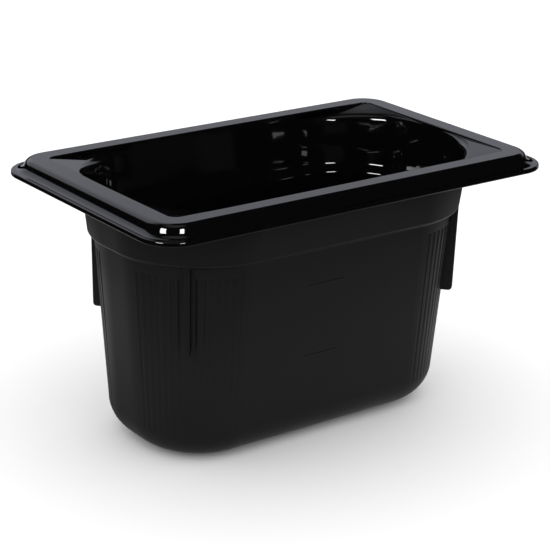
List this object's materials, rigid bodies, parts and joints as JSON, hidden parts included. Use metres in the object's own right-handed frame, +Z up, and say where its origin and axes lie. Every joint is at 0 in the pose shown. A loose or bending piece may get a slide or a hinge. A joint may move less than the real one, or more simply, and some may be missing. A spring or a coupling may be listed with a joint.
{
  "type": "food pan",
  "caption": "Deep rectangular food pan: large-radius corners, a wide stepped rim, flat shelves in the corners of its mouth, a stacking collar and stacking lugs.",
  "frame": {"origin": "middle of the flat base, on the surface the pan stands on", "axes": "+X along the pan's length, +Y to its back long side, +Z up towards the mouth"},
  "size_m": [0.176, 0.108, 0.1016],
  "materials": {
    "gloss_black": "gloss",
    "satin_black": "satin"
  },
  "bodies": {
    "root": {"basin_base": "satin_black", "basin_wall": "satin_black", "stacking_collar": "satin_black", "rim_flange": "gloss_black", "outer_lip": "gloss_black", "corner_shelf_front_left": "gloss_black", "corner_shelf_front_right": "gloss_black", "corner_shelf_back_left": "gloss_black", "corner_shelf_back_right": "gloss_black", "stacking_lug_front_left": "satin_black", "stacking_lug_front_right": "satin_black", "stacking_lug_back_left": "satin_black", "stacking_lug_back_right": "satin_black", "fill_line_upper": "satin_black", "fill_line_lower": "satin_black"}
  },
  "joints": []
}
